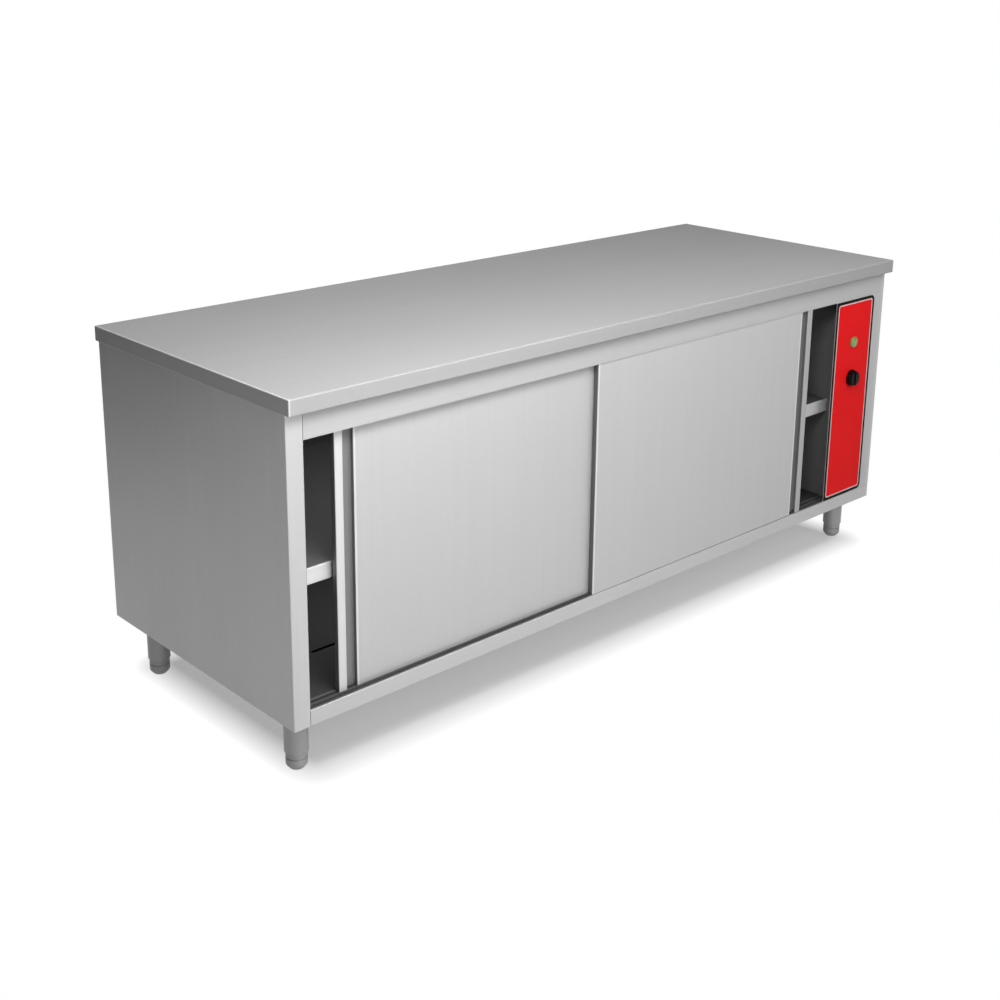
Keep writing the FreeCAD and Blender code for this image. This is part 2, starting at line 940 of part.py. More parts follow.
def make_thermostat():
    """The switch body with its bush, blades and flat front, and the shaft that the knob turns."""
    middle = Vector(control_x, 0, knob_level)
    front = front_back_face
    spans = [about(control_x, thermostat_width), (front, front + thermostat_depth),
             about(knob_level, thermostat_height)]
    body = block(*spans)
    body = body.makeFillet(thermostat_corner, off_plane(body.Edges, 1, front))
    bush_length = sheet + label_sheet - bush_front
    bush_base = Vector(middle.x, front, middle.z)
    body = body.fuse(rod(bush_radius, bush_length, bush_base, Vector(0, -1, 0)))
    back = front + thermostat_depth
    for side in (-1, 1):
        x = about(control_x + side * blade_pitch / 2, blade_width)
        z = about(knob_level - blade_pitch / 2, blade_sheet)
        body = body.fuse(block(x, (back, back + blade_length), z))
    bore_length = bush_length + shaft_tail + shaft_clearance
    bore_base = Vector(middle.x, front - bush_length, middle.z)
    bore = rod(shaft_radius + shaft_clearance, bore_length, bore_base, Vector(0, 1, 0))
    nodes["thermostat_body"] = body.cut(bore)
    knob_back = body_front - label_sheet - knob_gap
    shaft_front = knob_back - knob_bore_depth
    shaft_back = front + shaft_tail
    nodes["thermostat_shaft"] = rod(shaft_radius, shaft_back - shaft_front,
                                    Vector(middle.x, shaft_front, middle.z), Vector(0, 1, 0))


def make_knob():
    """A fluted knob with a finger bar across its front."""
    knob_back = body_front - label_sheet - knob_gap
    base = Vector(control_x, knob_back, knob_level)
    profile = [
        (0, 0),
        (knob_radius, 0),
        (knob_radius, knob_edge),
        (knob_front_radius, knob_length),
        (0, knob_length),
    ]
    knob = turned(profile, [0, 0, 0, knob_edge, 0], base, Vector(0, -1, 0))
    bar_x = about(control_x, knob_bar_width)
    bar_z = about(knob_level, 2 * (knob_front_radius - knob_edge))
    bar_front = knob_back - knob_length - knob_bar_height
    bar = block(bar_x, (bar_front, knob_back - knob_length / 2), bar_z)
    knob = knob.fuse(bar)
    reach = knob_radius + knob_flute_radius - knob_flute_reach
    for i in range(knob_flutes):
        angle = math.radians(360 * (i + 0.5) / knob_flutes)
        place = Vector(control_x + reach * math.cos(angle), knob_back - knob_edge,
                       knob_level + reach * math.sin(angle))
        knob = knob.cut(rod(knob_flute_radius, knob_length, place, Vector(0, -1, 0)))
    bore = rod(shaft_radius, knob_bore_depth, base, Vector(0, -1, 0))
    nodes["thermostat_knob"] = knob.cut(bore)


def bulb_hole_place(shift):
    """The middle of the capillary's hole in the control wall, moved along X by shift."""
    y = front_back_face + thermostat_depth + capillary_back
    return Vector(wall_x + shift, y, knob_level + capillary_rise)


def make_sensor():
    """The thermostat's capillary, the bulb on the chamber side of the wall and its clips."""
    hole = bulb_hole_place(0)
    start = Vector(control_x, front_back_face + thermostat_depth, knob_level + blade_pitch / 2)
    bulb_x = wall_x - bulb_wall_gap
    route = [
        start,
        Vector(start.x, hole.y, start.z),
        Vector(start.x, hole.y, hole.z),
        Vector(bulb_x, hole.y, hole.z),
        Vector(bulb_x, hole.y + capillary_arc * 2, hole.z),
    ]
    bends = [capillary_arc, capillary_arc, bulb_wall_gap / 2]
    nodes["sensor_capillary"] = bent_rod(route, capillary_radius, bends)
    bulb_base = route[-1]
    nodes["sensor_bulb"] = rod(bulb_radius, bulb_length, bulb_base, Vector(0, 1, 0))
    clips = []
    for share in bulb_clip_places_share:
        y = about(bulb_base.y + share * bulb_length, bulb_clip_width)
        ring_radius = bulb_radius + bulb_clip_sheet
        start_y = Vector(bulb_x, y[0], hole.z)
        clip = rod(ring_radius, bulb_clip_width, start_y, Vector(0, 1, 0))
        foot = block((bulb_x, wall_x), y, about(hole.z, 2 * ring_radius))
        clip = clip.fuse(foot)
        clips.append(clip.cut(rod(bulb_radius, bulb_clip_width, start_y, Vector(0, 1, 0))))
    nodes["bulb_clips"] = Part.makeCompound(clips)


def make_pilot_lamp():
    """Bezel with its threaded barrel, domed lens, and the nut behind the plate."""
    face = Vector(control_x, body_front - label_sheet, lamp_level)
    inwards = Vector(0, 1, 0)
    barrel_inner = lamp_barrel_radius - lamp_barrel_wall
    bezel_profile = [
        (barrel_inner, -lamp_seat),
        (lamp_lens_radius, -lamp_seat),
        (lamp_lens_radius, -lamp_bezel_height),
        (lamp_bezel_radius - lamp_bezel_edge, -lamp_bezel_height),
        (lamp_bezel_radius, lamp_bezel_edge - lamp_bezel_height),
        (lamp_bezel_radius, 0),
        (lamp_barrel_radius, 0),
        (lamp_barrel_radius, lamp_barrel_length),
        (barrel_inner, lamp_barrel_length),
    ]
    nodes["pilot_lamp_bezel"] = turned(bezel_profile, [0], face, inwards)
    lens_top = -lamp_bezel_height - lamp_lens_rise
    lens_profile = [
        (0, -lamp_seat),
        (lamp_lens_radius, -lamp_seat),
        (lamp_lens_radius, -lamp_bezel_height),
        (lamp_lens_flat_radius, lens_top),
        (0, lens_top),
    ]
    nodes["pilot_lamp_lens"] = turned(lens_profile, [0], face, inwards)
    nut_base = Vector(control_x, front_back_face, lamp_level)
    nut = hexagon(lamp_nut_size, lamp_nut_height, nut_base, inwards)
    bore_base = Vector(control_x, front_back_face - overrun, lamp_level)
    bore = rod(lamp_barrel_radius, lamp_nut_height + 2 * overrun, bore_base, inwards)
    nodes["pilot_lamp_nut"] = nut.cut(bore)


def make_terminal_block():
    """A comb of open ways on a foot rail, fixed to the compartment side of the wall."""
    length = block_ways * block_way_pitch
    middle_y = front_back_face + block_back_share * (bay_back - front_back_face)
    level = sill_top + block_level_share * (opening_top - sill_top)
    x = (wall_x + sheet, wall_x + sheet + block_depth)
    y = about(middle_y, length)
    body = block(x, y, about(level, block_height))
    for i in range(block_ways):
        way_y = about(y[0] + block_way_pitch * (i + 0.5), block_way_pitch - block_notch)
        for side in (-1, 1):
            far = level + side * block_height
            near = level + side * (block_height / 2 - block_notch)
            way_x = (x[0] + block_rail, x[1] + overrun)
            body = body.cut(block(way_x, way_y, (min(near, far), max(near, far))))
    nodes["terminal_block"] = body


def make_cable_gland():
    """A gland that screws up into the bottom pan under the control compartment."""
    base = Vector(control_x, bay_back - gland_back_inset, body_bottom)
    down = Vector(0, 0, -1)
    hexagon_body = hexagon(2 * gland_radius, gland_hex_height, base, down)
    cap_base = base + down * gland_hex_height
    cap_edge = gland_cap_radius / 4
    cap_profile = [
        (0, 0),
        (gland_cap_radius, 0),
        (gland_cap_radius, gland_cap_height - cap_edge),
        (gland_cap_radius - cap_edge, gland_cap_height),
        (0, gland_cap_height),
    ]
    cap = turned(cap_profile, [0], cap_base, down)
    thread = rod(gland_thread_radius, gland_thread_length, base, Vector(0, 0, 1))
    length = gland_hex_height + gland_cap_height + gland_thread_length + 2 * overrun
    bore_base = base + down * (gland_hex_height + gland_cap_height + overrun)
    bore = rod(gland_bore, length, bore_base, Vector(0, 0, 1))
    nodes["cable_gland"] = hexagon_body.fuse(cap).fuse(thread).cut(bore).removeSplitter()


# Legs and feet


def make_legs():
    """Each leg is a tube welded under a plate. Its foot screws into an insert in the tube."""
    plate_bottom = body_bottom - leg_plate_sheet
    insert_radius = leg_radius - leg_tube_wall - insert_gap
    inserts = []
    for name, (x, y) in leg_places.items():
        base = Vector(x, y, leg_tube_bottom)
        tube_length = plate_bottom - leg_tube_bottom
        spans = [about(x, leg_plate), about(y, leg_plate), (plate_bottom, body_bottom)]
        plate = block(*spans)
        upright = [e for e in plate.Edges if abs(e.tangentAt(e.FirstParameter).z) > 1 - touch]
        plate = plate.makeFillet(leg_plate_corner, upright)
        leg = plate.fuse(rod(leg_radius, tube_length, base, Vector(0, 0, 1)))
        bore_radius = leg_radius - leg_tube_wall
        nodes["leg_" + name] = leg.cut(rod(bore_radius, tube_length, base, Vector(0, 0, 1)))
        insert_base = Vector(x, y, insert_bottom)
        insert = rod(insert_radius, insert_height, insert_base, Vector(0, 0, 1))
        thread = rod(stem_radius + stem_clearance, insert_height, insert_base, Vector(0, 0, 1))
        inserts.append(insert.cut(thread))
        make_foot(name, x, y)
    nodes["leg_inserts"] = Part.makeCompound(inserts)


def make_foot(name, x, y):
    """A round-bottomed cup with a grip groove, and the threaded stem above it."""
    groove = (foot_groove_height, foot_groove_height + foot_groove_width)
    profile = [
        (0, 0),
        (foot_sole, 0),
        (foot_radius, foot_rounding),
        (foot_radius, groove[0]),
        (foot_radius - foot_groove_depth, groove[0]),
        (foot_radius - foot_groove_depth, groove[1]),
        (foot_radius, groove[1]),
        (foot_radius, foot_cup_top - foot_cup_chamfer),
        (foot_radius - foot_cup_chamfer, foot_cup_top),
        (stem_radius, foot_cup_top),
        (stem_radius, stem_top),
        (0, stem_top),
    ]
    rounding = [0, 0, foot_rounding] + [0] * (len(profile) - 3)
    nodes["foot_" + name] = turned(profile, rounding, Vector(x, y, 0), Vector(0, 0, 1))


make_countertop()
make_stiffeners()
make_side_panels()
make_back_panel()
make_bottom_pan()
make_front_frame()
make_chamber_walls()
make_floor_tray()
make_heating_elements()
make_element_clips()
make_shelf()
make_track()
make_guide_fins()
make_buffers()
make_door("front_door", front_door_left, front_door_width, front_door_face, False)
make_door("rear_door", rear_door_left, rear_door_width, rear_door_face, True)
make_control_wall()
make_control_plate()
make_thermostat()
make_knob()
make_sensor()
make_pilot_lamp()
make_terminal_block()
make_cable_gland()
make_legs()

os.makedirs("parts", exist_ok=True)
for node, shape in nodes.items():
    shape.exportStep("parts/" + node + ".step")

print(len(nodes), "nodes")
print("front door travel", rear_door_closed_left - front_door_left,
      front_door_closed_right - front_door_left - front_door_width)
print("rear door travel", rear_door_closed_left - rear_door_left,
      front_door_closed_right - rear_door_left - rear_door_width)
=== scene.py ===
import math

import bmesh
import bpy
from mathutils import Matrix, Vector


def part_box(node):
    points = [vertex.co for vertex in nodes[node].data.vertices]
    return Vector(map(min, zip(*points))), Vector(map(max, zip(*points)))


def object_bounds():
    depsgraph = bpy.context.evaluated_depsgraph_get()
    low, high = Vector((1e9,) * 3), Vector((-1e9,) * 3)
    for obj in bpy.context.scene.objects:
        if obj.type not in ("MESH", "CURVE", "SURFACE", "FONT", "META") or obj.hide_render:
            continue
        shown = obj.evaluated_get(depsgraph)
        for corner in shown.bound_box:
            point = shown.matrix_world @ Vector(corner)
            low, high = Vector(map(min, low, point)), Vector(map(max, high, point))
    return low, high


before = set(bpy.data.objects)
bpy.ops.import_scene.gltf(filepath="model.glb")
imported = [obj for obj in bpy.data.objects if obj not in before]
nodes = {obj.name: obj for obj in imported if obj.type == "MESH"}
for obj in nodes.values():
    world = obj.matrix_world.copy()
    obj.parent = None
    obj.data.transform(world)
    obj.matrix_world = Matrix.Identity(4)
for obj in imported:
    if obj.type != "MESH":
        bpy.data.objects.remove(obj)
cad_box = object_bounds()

scene = bpy.context.scene


# Camera


def add_camera():
    """The photograph's viewpoint: over the left front corner, looking along the front.

    The photograph's own shift is larger. This one keeps the object in view from other sides."""
    place = Vector((-2.4344, -2.4801, 1.5985))
    yaw, pitch, roll = 0.74928, 0.26988, 0.01004
    sensor_width = 36
    focal_share = 1.4409
    lens_shift = -0.14
    far_limit = 200
    forward = Vector((math.sin(yaw) * math.cos(pitch), math.cos(yaw) * math.cos(pitch),
                      -math.sin(pitch)))
    level = Vector((math.cos(yaw), -math.sin(yaw), 0))
    rise = level.cross(forward)
    right = level * math.cos(roll) + rise * math.sin(roll)
    up = rise * math.cos(roll) - level * math.sin(roll)
    data = bpy.data.cameras.new("camera")
    data.sensor_fit = "HORIZONTAL"
    data.sensor_width = sensor_width
    data.lens = focal_share * sensor_width
    data.shift_y = lens_shift
    data.clip_end = far_limit
    camera = bpy.data.objects.new("camera", data)
    turn = Matrix((right, up, -forward)).transposed().to_4x4()
    camera.matrix_world = Matrix.Translation(place) @ turn
    scene.collection.objects.link(camera)
    scene.camera = camera


# Node graphs


class Graph:
    """The nodes of a material or of the world, made with short calls."""

    def __init__(self, owner):
        owner.use_nodes = True
        self.owner = owner
        self.tree = owner.node_tree
        self.tree.nodes.clear()

    def put(self, socket, value):
        if isinstance(value, bpy.types.NodeSocket):
            self.tree.links.new(value, socket)
        elif value is not None:
            socket.default_value = value

    def add(self, kind, inputs=(), **settings):
        """A node of this kind, with its settings and its inputs by name or place."""
        node = self.tree.nodes.new(kind)
        for key, value in settings.items():
            setattr(node, key, value)
        for key, value in dict(inputs).items():
            self.put(node.inputs[key], value)
        return node

    def maths(self, operation, first, second=None):
        node = self.add("ShaderNodeMath", {0: first}, operation=operation)
        self.put(node.inputs[1], second)
        return node.outputs[0]

    def places(self):
        """Coordinates in metres, in the object's own frame."""
        return self.add("ShaderNodeTexCoord").outputs["Object"]

    def parts(self, vector):
        """The X, Y and Z of a vector."""
        return self.add("ShaderNodeSeparateXYZ", {0: vector}).outputs

    def stretched(self, vector, scale, turn=(0, 0, 0)):
        """The coordinates turned and then scaled, so that a noise runs along a grain."""
        turned = self.add("ShaderNodeMapping", {"Vector": vector, "Rotation": turn})
        scaled = self.add("ShaderNodeMapping", {"Vector": turned.outputs[0], "Scale": scale})
        return scaled.outputs[0]

    def noise(self, vector, scale=1.0, detail=3.0, roughness=0.5):
        node = self.add("ShaderNodeTexNoise", {"Vector": vector, "Scale": scale,
                                               "Detail": detail, "Roughness": roughness})
        return node.outputs["Fac"]

    def length(self, sides):
        """The length of the diagonal over two sides."""
        squares = [self.maths("MULTIPLY", side, side) for side in sides]
        return self.maths("SQRT", self.maths("ADD", *squares))

    def ranged(self, value, low, high, to_low, to_high):
        """value mapped from (low, high) to (to_low, to_high) and held there."""
        node = self.add("ShaderNodeMapRange", {"Value": value, "From Min": low, "From Max": high,
                                               "To Min": to_low, "To Max": to_high})
        return node.outputs[0]

    def mixed(self, factor, first, second):
        node = self.add("ShaderNodeMix", {"Factor": factor}, data_type="RGBA")
        self.put(node.inputs[6], first)
        self.put(node.inputs[7], second)
        return node.outputs[2]

    def looked_at(self, rays):
        """1 for a ray that comes from the camera, straight or through glass, else 0."""
        return self.maths("MAXIMUM", rays["Is Camera Ray"], rays["Is Transmission Ray"])

    def bump(self, height, strength, distance):
        node = self.add("ShaderNodeBump", {"Height": height, "Strength": strength,
                                           "Distance": distance})
        return node.outputs[0]

    def surface(self, shader, kind="Material"):
        self.add("ShaderNodeOutput" + kind, {"Surface": shader})
        return self.owner

    def principled(self, **inputs):
        """A finished material from the principled shader's sockets."""
        names = {key.replace("_", " "): value for key, value in inputs.items()}
        node = self.add("ShaderNodeBsdfPrincipled", names)
        return self.surface(node.outputs[0])


def shade(tone, factor=1.0):
    """A colour from a grey tone or three parts, scaled and opaque."""
    parts = (tone, tone, tone) if isinstance(tone, (int, float)) else tone
    return tuple(part * factor for part in parts) + (1.0,)


# Materials


def grained(grain, across, along):
    """Noise scales that are along on the grain's axis and across on the other two."""
    return [along if axis == grain else across for axis in range(3)]


def satin_steel(name, tone, grain, roughness=0.45, metallic=0.30, shaded_behind=None, shade_tone=0.12,
                specular=0.5, highlit_folds=None, highlight_gain=1.35):
    """Brushed stainless sheet. grain is the axis that the brush marks run along.

    sunk is a plane's Y: the sheet set back behind it is darkened to the tone deep, as painted shade
    in the recess.
    specular is the strength of the plain reflection beside the metallic one.
    bends are the two places in X where the sheet is folded, with a painted highlight along them,
    rub times the tone."""
    graph = Graph(bpy.data.materials.new(name))
    place = graph.places()
    scuff_turn = (0.5, 0.35, 0.6)
    brushing = graph.noise(graph.stretched(place, grained(grain, 620.0, 5.0)), detail=2.0)
    streaks = graph.noise(graph.stretched(place, grained(grain, 46.0, 0.7)), detail=4.0)
    clouds = graph.noise(place, scale=2.4, detail=4.0)
    scuffs = graph.noise(graph.stretched(place, grained(grain, 7.0, 260.0), scuff_turn), detail=2.0)
    scuff = graph.ranged(scuffs, 0.70, 0.78, 0.0, 1.0)
    grainy = graph.ranged(brushing, 0.25, 0.75, 0.0, 1.0)
    light = shade(tone, 1.02)
    dark = shade(tone, 0.97)
    base = graph.mixed(grainy, dark, light)
    tinted = graph.mixed(graph.ranged(streaks, 0.3, 0.7, 0.0, 0.35), base, shade(tone, 0.93))
    # Painted highlight: a narrow band at each fold is lightened by the factor rub.
    if highlit_folds is not None:
        lightened, faded = 0.0025, 0.0045
        across = graph.parts(place)[0]
        left_fold_highlight = graph.ranged(across, highlit_folds[0] + lightened, highlit_folds[0] + faded, 1.0, 0.0)
        right_fold_highlight = graph.ranged(across, highlit_folds[1] - faded, highlit_folds[1] - lightened, 0.0, 1.0)
        fold_highlight = graph.maths("MAXIMUM", left_fold_highlight, right_fold_highlight)
        tinted = graph.mixed(fold_highlight, tinted, shade(tone, highlight_gain))
    # Painted shade: behind the plane sunk the sheet fades to the dark tone deep.
    if shaded_behind is not None:
        skin_end, dark_start = shaded_behind + 0.0005, shaded_behind + 0.0035
        painted_recess_shade = graph.ranged(graph.parts(place)[1], skin_end, dark_start, 0.0, 1.0)
        tinted = graph.mixed(painted_recess_shade, tinted, shade(shade_tone))
    gloss = graph.ranged(clouds, 0.3, 0.7, roughness - 0.035, roughness + 0.045)
    marked = graph.maths("ADD", gloss, graph.maths("MULTIPLY", scuff, 0.05))
    brushed = graph.maths("ADD", marked, graph.maths("MULTIPLY", grainy, 0.04))
    relief = graph.maths("ADD", grainy, graph.maths("MULTIPLY", scuff, -0.5))
    return graph.principled(Base_Color=tinted, Metallic=metallic, Roughness=brushed,
                            Specular_IOR_Level=specular, Normal=graph.bump(relief, 0.10, 0.0002))


def coated_metal(name, colour, metallic, roughness, spangle):
    """Plated or oxidised metal with cloudy patches of this size and fine pitting."""
    graph = Graph(bpy.data.materials.new(name))
    place = graph.places()
    patches = graph.add("ShaderNodeTexVoronoi", {"Vector": place, "Scale": spangle})
    tone = graph.ranged(patches.outputs["Distance"], 0.0, 0.7, 0.0, 1.0)
    pits = graph.noise(place, scale=900.0, detail=2.0)
    base = graph.mixed(tone, shade(colour, 0.86), shade(colour, 1.08))
    gloss = graph.ranged(pits, 0.3, 0.7, roughness - 0.06, roughness + 0.08)
    return graph.principled(Base_Color=base, Metallic=metallic, Roughness=gloss,
                            Normal=graph.bump(pits, 0.12, 0.0002))


def moulded(name, colour, roughness, wear=0.15, specular=0.5):
    """Moulded plastic or rubber: fine texture, rubbed patches and a little dust."""
    graph = Graph(bpy.data.materials.new(name))
    place = graph.places()
    pores = graph.noise(place, scale=1500.0, detail=2.0)
    lightened = graph.ranged(graph.noise(place, scale=60.0, detail=4.0), 0.55, 0.75, 0.0, wear)
    base = graph.mixed(lightened, shade(colour), shade([part * 0.8 + 0.08 for part in colour]))
    gloss = graph.ranged(pores, 0.3, 0.7, roughness - 0.05, roughness + 0.06)
    return graph.principled(Base_Color=base, Roughness=gloss, Specular_IOR_Level=specular,
                            Normal=graph.bump(pores, 0.15, 0.0003))


def label_print(name, box):
    """A red field inside a fine pale line and a black border, with rounded corners."""
    border, border_corner = 0.0080, 0.008
    field_margin, field_corner = 0.0115, 0.006
    print_edge = 0.0003
    graph = Graph(bpy.data.materials.new(name))
    place = graph.places()
    split = graph.parts(place)
    middle = (box[0] + box[1]) / 2
    half = (box[1] - box[0]) / 2

    def inset(margin, radius):
        """1 inside the label's outline moved inwards by margin, 0 outside it."""
        sides = []
        for axis in (0, 2):
            away = graph.maths("ABSOLUTE", graph.maths("SUBTRACT", split[axis], middle[axis]))
            limit = half[axis] - margin - radius
            sides.append(graph.maths("MAXIMUM", graph.maths("SUBTRACT", away, limit), 0.0))
        reach = graph.length(sides)
        return graph.ranged(reach, radius - print_edge, radius + print_edge, 1.0, 0.0)

    clouds = graph.noise(place, scale=9.0, detail=3.0)
    grain = graph.noise(place, scale=1800.0, detail=2.0)
    red = graph.mixed(clouds, shade((0.78, 0.009, 0.011)), shade((0.86, 0.012, 0.015)))
    black = graph.mixed(clouds, shade(0.003), shade(0.006))
    lined = graph.mixed(inset(border, border_corner), black, shade((0.72, 0.55, 0.55)))
    printed = graph.mixed(inset(field_margin, field_corner), lined, red)
    gloss = graph.ranged(grain, 0.3, 0.7, 0.40, 0.48)
    return graph.principled(Base_Color=printed, Roughness=gloss, Specular_IOR_Level=0.05,
                            Normal=graph.bump(grain, 0.05, 0.0001))


def lamp_glass(name):
    """The pilot lamp's pale green lens: ribbed inside and a little translucent."""
    graph = Graph(bpy.data.materials.new(name))
    place = graph.places()
    ribs = graph.add("ShaderNodeTexWave", {"Vector": place, "Scale": 260.0, "Distortion": 0.4},
                     bands_direction="Z").outputs["Fac"]
    base = graph.mixed(ribs, shade((0.15, 0.24, 0.06)), shade((0.30, 0.40, 0.13)))
    specks = graph.noise(place, scale=700.0, detail=2.0)
    gloss = graph.ranged(specks, 0.3, 0.7, 0.12, 0.22)
    return graph.principled(Base_Color=base, Roughness=gloss, Subsurface_Weight=0.15,
                            Coat_Weight=0.5, Normal=graph.bump(ribs, 0.10, 0.0003))


def floor_paint(name, box, tone, glow, mirrored):
    """A pale floor, white where it is seen or mirrored away from the object's shadow.

    glow lifts the shadow where it is seen, and mirrored is the share of white in reflections.
    The shadow's core lies inside the box by the insets, and fades out over fade. Beyond it the
    floor is plain white where seen or mirrored, so the shadow's outline is painted; inside it the
    floor is lit by the lamps, so its darkness there is partly real shadow."""
    insets = ((0.10, 0.08), (0.08, 0.08))
    fade = 0.085
    graph = Graph(bpy.data.materials.new(name))
    place = graph.places()
    split = graph.parts(place)
    sides = []
    for axis, (inset_low, inset_high) in enumerate(insets):
        start, end = box[0][axis] + inset_low, box[1][axis] - inset_high
        middle, half = (start + end) / 2, (end - start) / 2
        away = graph.maths("ABSOLUTE", graph.maths("SUBTRACT", split[axis], middle))
        sides.append(graph.maths("MAXIMUM", graph.maths("SUBTRACT", away, half), 0.0))
    # Painted shadow outline: 0 inside the box's core, rising to 1, plain white, over fade.
    outside_painted_shadow = graph.ranged(graph.length(sides), 0.0, fade, 0.0, 1.0)
    rays = graph.add("ShaderNodeLightPath").outputs
    looked = graph.looked_at(rays)
    shown = graph.maths("MULTIPLY", rays["Is Glossy Ray"], mirrored)
    direct = graph.maths("MAXIMUM", looked, shown)
    specks = graph.noise(place, scale=3.0, detail=3.0)
    paint = graph.mixed(specks, shade(tone, 0.97), shade(tone, 1.03))
    matt = graph.add("ShaderNodeBsdfDiffuse", {"Color": paint}).outputs[0]
    glint = graph.add("ShaderNodeEmission", {"Strength": graph.maths("MULTIPLY", direct, glow)})
    near = graph.add("ShaderNodeAddShader", {0: matt, 1: glint.outputs[0]}).outputs[0]
    white = graph.add("ShaderNodeEmission", {"Strength": 1.0}).outputs[0]
    blend = graph.maths("MULTIPLY", direct, outside_painted_shadow)
    both = graph.add("ShaderNodeMixShader", {0: blend, 1: near, 2: white})
    return graph.surface(both.outputs[0])


# Studio


def add_floor():
    half_width, squares = 90, 8
    mesh = bpy.data.meshes.new("floor")
    shape = bmesh.new()
    bmesh.ops.create_grid(shape, x_segments=squares, y_segments=squares, size=half_width)
    shape.to_mesh(mesh)
    shape.free()
    floor = bpy.data.objects.new("floor", mesh)
    surface = floor_paint("floor_paint", cad_box, tone=0.30, glow=0.355, mirrored=0.93)
    mesh.materials.append(surface)
    scene.collection.objects.link(floor)


def add_light(name, place, target, size, power):
    """A soft rectangular lamp of this size at place, aimed at target. power is in watts."""
    data = bpy.data.lights.new(name, "AREA")
    data.shape = "RECTANGLE"
    data.size, data.size_y = size
    data.energy = power
    lamp = bpy.data.objects.new(name, data)
    lamp.visible_camera = False
    aim = (Vector(target) - Vector(place)).to_track_quat("-Z", "Y")
    lamp.matrix_world = Matrix.Translation(Vector(place)) @ aim.to_matrix().to_4x4()
    scene.collection.objects.link(lamp)


def add_lamps():
    """Name, place, target, size and watts of each lamp, and two small ones in the chambers."""
    lamps = (
        ("overhead", (0.0, 0.0, 5.0), (0.0, 0.0, 0.0), (0.5, 0.5), 88),
        ("strip", (0.1, -0.95, 1.60), (0.1, -0.30, 0.8), (2.2, 0.30), 6),
        ("corner", (-0.90, -1.15, 1.75), (-0.90, -0.35, 0.6), (0.8, 0.5), 21),
        ("front", (0.8, -2.9, 2.4), (0.3, -0.35, 0.4), (1.8, 1.2), 43),
        ("low", (-1.0, -2.6, 0.46), (-0.5, -0.35, 0.46), (1.4, 0.6), 15),
    )
    chamber_place = (-0.5, 0.05)
    chamber_levels = (0.40, 0.70)
    chamber_size, chamber_watts = (0.7, 0.4), 0.6
    for name, place, target, size, watts in lamps:
        add_light(name, place, target, size, watts)
    for level in chamber_levels:
        add_light("chamber", (*chamber_place, level), (*chamber_place, 0.0), chamber_size,
                  chamber_watts)


def add_flag(x, front, back, height):
    """A black card that stands to the left, out of sight, and keeps that side of the steel dark."""
    mesh = bpy.data.meshes.new("flag")
    corners = [(x, front, 0), (x, back, 0), (x, back, height), (x, front, height)]
    mesh.from_pydata(corners, [], [(0, 1, 2, 3)])
    mesh.materials.append(moulded("flag_cloth", (0.010, 0.010, 0.010), 0.9))
    flag = bpy.data.objects.new("flag", mesh)
    flag.visible_camera = False
    scene.collection.objects.link(flag)


def add_sky(left_dim, right_bright, overhead_bright):
    """Studio surroundings: dim to the left and back, bright to the front, right and top."""
    graph = Graph(bpy.data.worlds.new("studio"))
    split = graph.parts(graph.add("ShaderNodeTexCoord").outputs["Generated"])
    across = graph.maths("SUBTRACT", split[0], split[1])
    side = graph.ranged(across, -1.0, 1.15, left_dim, right_bright)
    high = graph.ranged(split[2], 0.0, 0.6, 0.0, overhead_bright)
    looked = graph.looked_at(graph.add("ShaderNodeLightPath").outputs)
    around = graph.add("ShaderNodeBackground", {"Strength": graph.maths("ADD", side, high)})
    white = graph.add("ShaderNodeBackground", {"Color": shade(1.0), "Strength": 1.0})
    both = graph.add("ShaderNodeMixShader", {0: looked, 1: around.outputs[0], 2: white.outputs[0]})
    scene.world = graph.surface(both.outputs[0], "World")


# Dressing


def paint(material, *names):
    for name in names:
        nodes[name].data.materials.clear()
        nodes[name].data.materials.append(material)


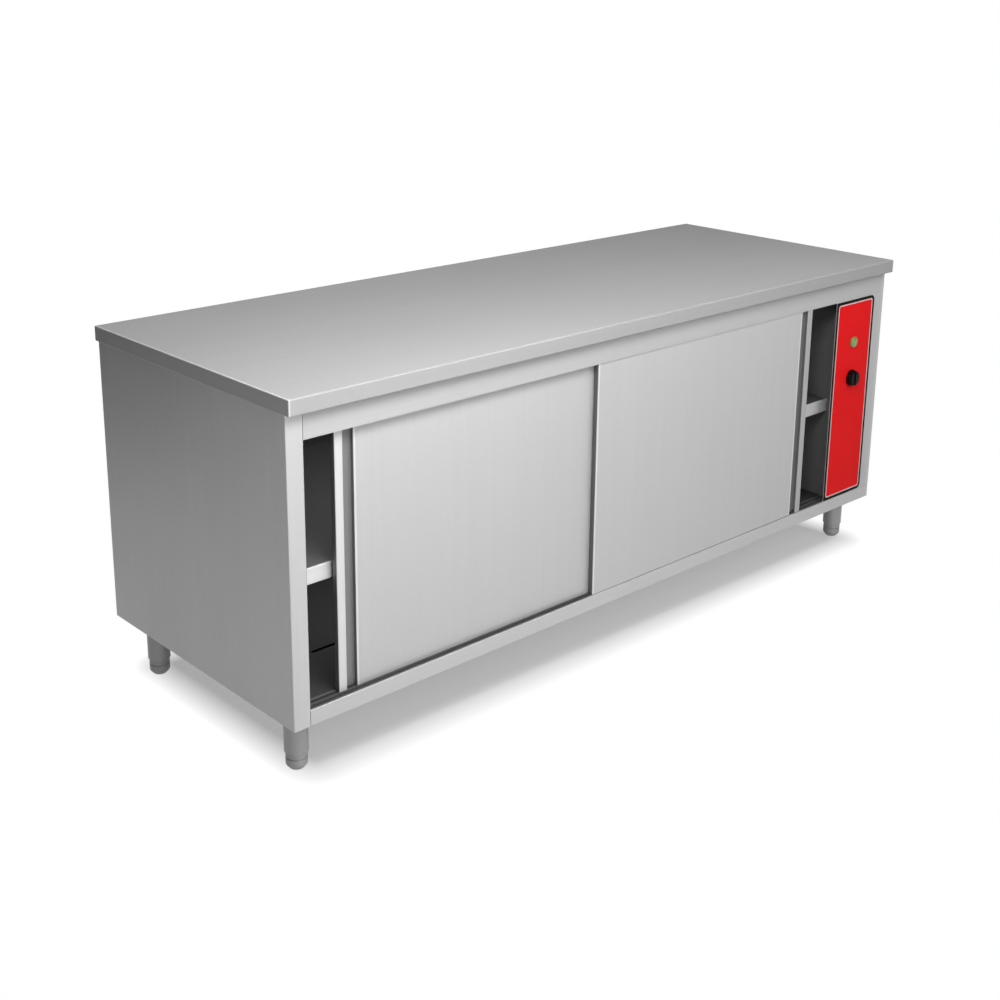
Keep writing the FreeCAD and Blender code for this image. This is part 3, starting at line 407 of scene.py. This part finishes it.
def dress_nodes():
    along, up = 0, 2
    # The countertop's two ends carry a painted highlight along their folds.
    top_low, top_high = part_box("countertop")
    top = satin_steel("countertop_steel", 0.40, along, roughness=0.66, metallic=0.24, specular=0.05,
                      highlit_folds=(top_low[0], top_high[0]), highlight_gain=1.6)
    body = satin_steel("panel_steel", 0.56, up, roughness=0.42, metallic=0.40)
    front = satin_steel("front_steel", 0.49, along)
    # Painted shade: the chamber and the tray are given very dark tones for the dim inside, and the
    # guide fins take the tray's.
    chamber = satin_steel("chamber_steel", 0.16, along, roughness=0.60)
    tray = satin_steel("tray_steel_painted_shade", 0.05, along, roughness=0.60)
    leg = satin_steel("leg_steel", 0.40, up, roughness=0.40)
    foot = satin_steel("foot_steel", 0.38, up)
    zinc = coated_metal("zinc_plate", (0.56, 0.57, 0.58), 0.9, 0.42, 160.0)
    alloy = satin_steel("track_alloy", 0.58, along)
    sheath = coated_metal("element_sheath", (0.10, 0.09, 0.08), 0.6, 0.55, 240.0)
    copper = coated_metal("copper_tube", (0.60, 0.34, 0.22), 1.0, 0.35, 420.0)
    plated = coated_metal("plated_brass", (0.62, 0.63, 0.65), 1.0, 0.20, 520.0)
    nylon = moulded("white_nylon", (0.80, 0.80, 0.76), 0.45)
    rubber = moulded("black_rubber", (0.018, 0.018, 0.018), 0.75)
    knob = moulded("knob_black", (0.003, 0.003, 0.003), 0.42, wear=0.01, specular=0.12)
    switch = moulded("switch_plastic", (0.62, 0.60, 0.54), 0.50)
    gland = moulded("gland_nylon", (0.030, 0.030, 0.030), 0.55)
    label_box = [Vector(corner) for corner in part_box("control_label")]
    corners = ("front_left", "front_right", "back_left", "back_right")
    paint(top, "countertop")
    paint(body, "left_side_panel", "right_side_panel", "back_panel", "bottom_pan")
    paint(front, "front_fascia")
    paint(chamber, "left_inner_wall", "back_inner_wall", "ceiling_panel", "control_wall",
          "shelf_supports")
    paint(tray, "floor_tray", "lower_guide_fins")
    # The shelf, rail and plate get painted shade where they are set back behind their fronts.
    paint(satin_steel("shelf_steel", 0.70, along, shaded_behind=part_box("middle_shelf")[0][1]),
          "middle_shelf")
    paint(satin_steel("rail_steel", 0.55, along, shaded_behind=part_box("bottom_rail")[0][1]),
          "bottom_rail")
    paint(satin_steel("plate_steel", 0.52, up, shaded_behind=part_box("control_plate")[0][1]),
          "control_plate")
    paint(zinc, "top_stiffeners", "shelf_rib", "element_clips", "bulb_clips", "leg_inserts")
    paint(alloy, "door_track")
    paint(rubber, "door_buffers")
    paint(sheath, "heating_elements")
    paint(copper, "sensor_bulb", "sensor_capillary")
    paint(plated, "pilot_lamp_nut", "track_screws", "thermostat_shaft")
    paint(switch, "thermostat_body", "terminal_block")
    paint(knob, "thermostat_knob")
    paint(gland, "cable_gland")
    paint(moulded("lamp_plastic", (0.20, 0.27, 0.08), 0.35, wear=0.05), "pilot_lamp_bezel")
    paint(lamp_glass("lamp_lens"), "pilot_lamp_lens")
    paint(label_print("label_print", label_box), "control_label")
    # The two handles are one kind of part in different tones: the rear one lighter, as a painted
    # highlight, the front one darker, as painted shade. The second tone is the painted shade behind
    # the door's face.
    grip_painted_tones = {"front_door": (0.44, 0.17), "rear_door": (0.68, 0.21)}
    for name, (grip_painted_tone, grip_shade_tone) in grip_painted_tones.items():
        low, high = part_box(name + "_skin")
        # The skin's two folded ends in X carry a painted highlight.
        face = low[1]
        # Skin and handle: painted shade on the sheet set back behind the door's face.
        skin = satin_steel(name + "_steel", 0.53, up, shaded_behind=face, highlit_folds=(low[0], high[0]))
        grip = satin_steel(name + "_grip", grip_painted_tone, up, shaded_behind=face, shade_tone=grip_shade_tone)
        paint(skin, name + "_skin", name + "_back")
        paint(grip, name + "_handle")
        paint(nylon, name + "_guide_shoe", name + "_inner_roller", name + "_outer_roller")
        paint(zinc, name + "_carrier", name + "_hangers")
    for corner in corners:
        paint(leg, "leg_" + corner)
        paint(foot, "foot_" + corner)


add_camera()
add_sky(left_dim=0.02, right_bright=0.04, overhead_bright=0.02)
add_floor()
add_lamps()
add_flag(x=-1.9, front=1.0, back=3.4, height=2.0)
dress_nodes()
scene.view_settings.view_transform = "Standard"
